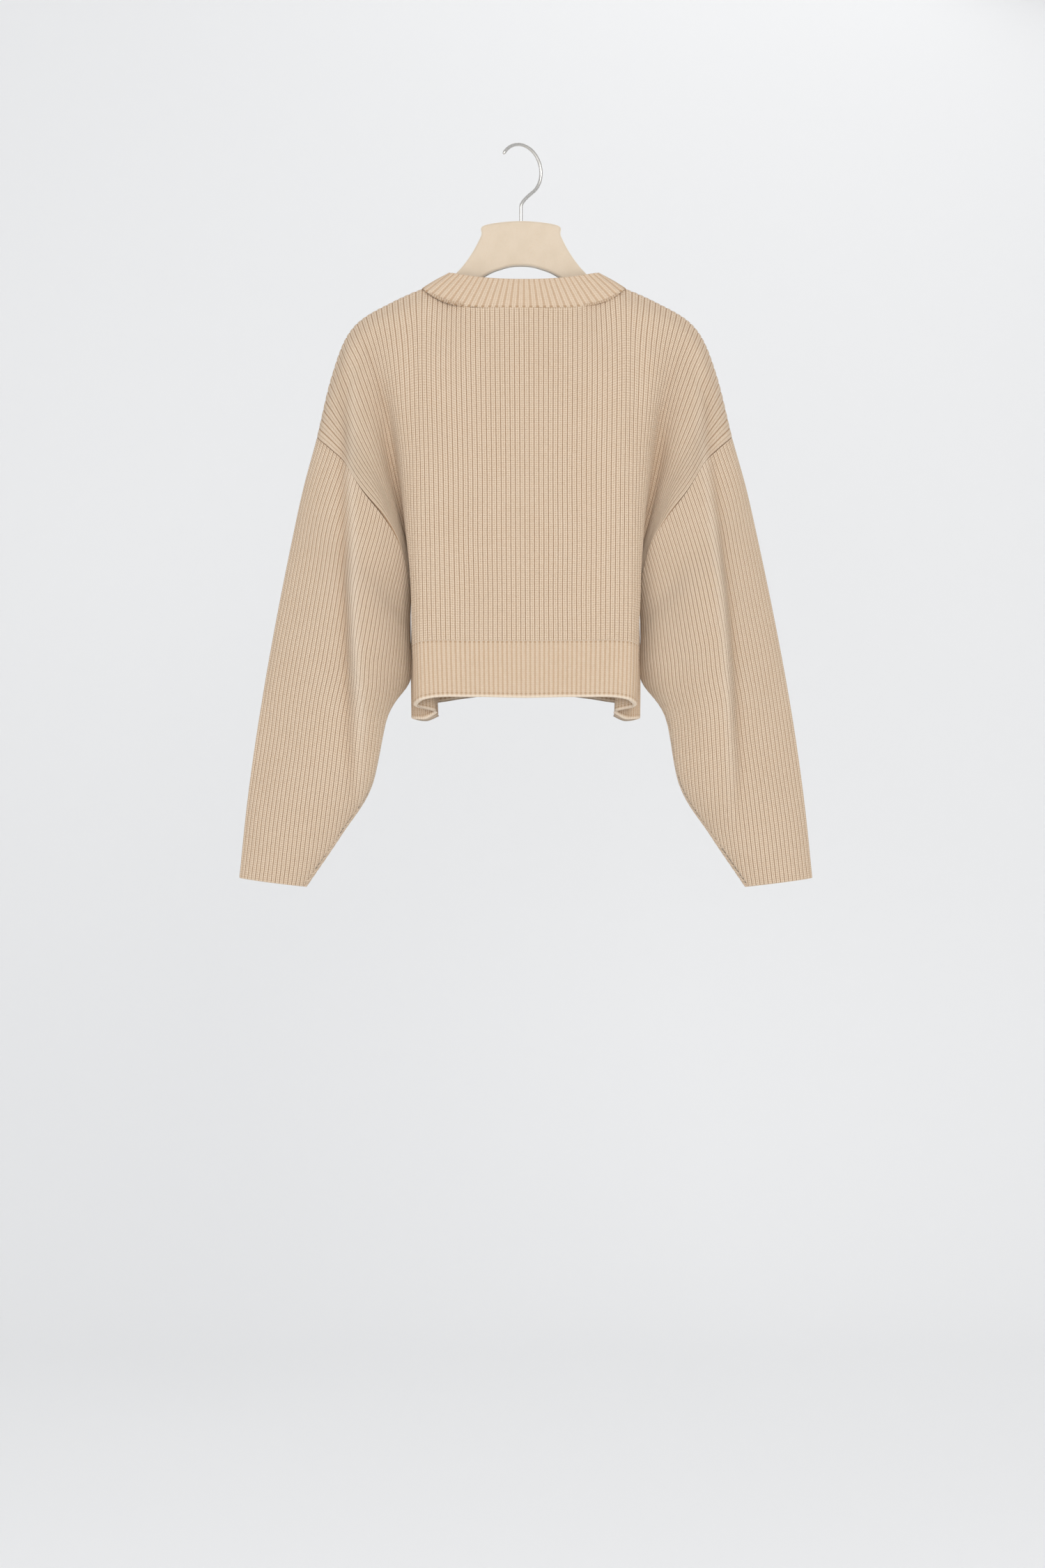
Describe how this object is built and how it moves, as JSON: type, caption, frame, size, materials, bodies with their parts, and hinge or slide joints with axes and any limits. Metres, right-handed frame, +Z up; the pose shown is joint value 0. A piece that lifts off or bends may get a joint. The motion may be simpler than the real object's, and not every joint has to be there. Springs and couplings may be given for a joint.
{
  "type": "cropped knit sweater on a flat board hanger",
  "caption": "Cropped drop-shoulder sweater in a chunky rib knit with wide tapering sleeves, hanging on a flat board hanger with a wire hook.",
  "frame": {"origin": "inside of the top of the hook's bend, where the hook rests on its rail", "axes": "+Z up, the garment's front faces -Y, +X to the right seen from the front"},
  "size_m": [0.658, 0.0968, 0.8544],
  "materials": {
    "knit": "chunky matt rib knit in oat beige",
    "board": "pale unlacquered fibreboard with a fine speckle",
    "wire": "satin nickel wire"
  },
  "bodies": {
    "root": {"front": "knit", "back": "knit", "left_sleeve": "knit", "right_sleeve": "knit", "neckband": "knit", "front_hem_rib": "knit", "back_hem_rib": "knit", "hanger_board": "board", "hanger_hook": "wire"}
  },
  "joints": []
}
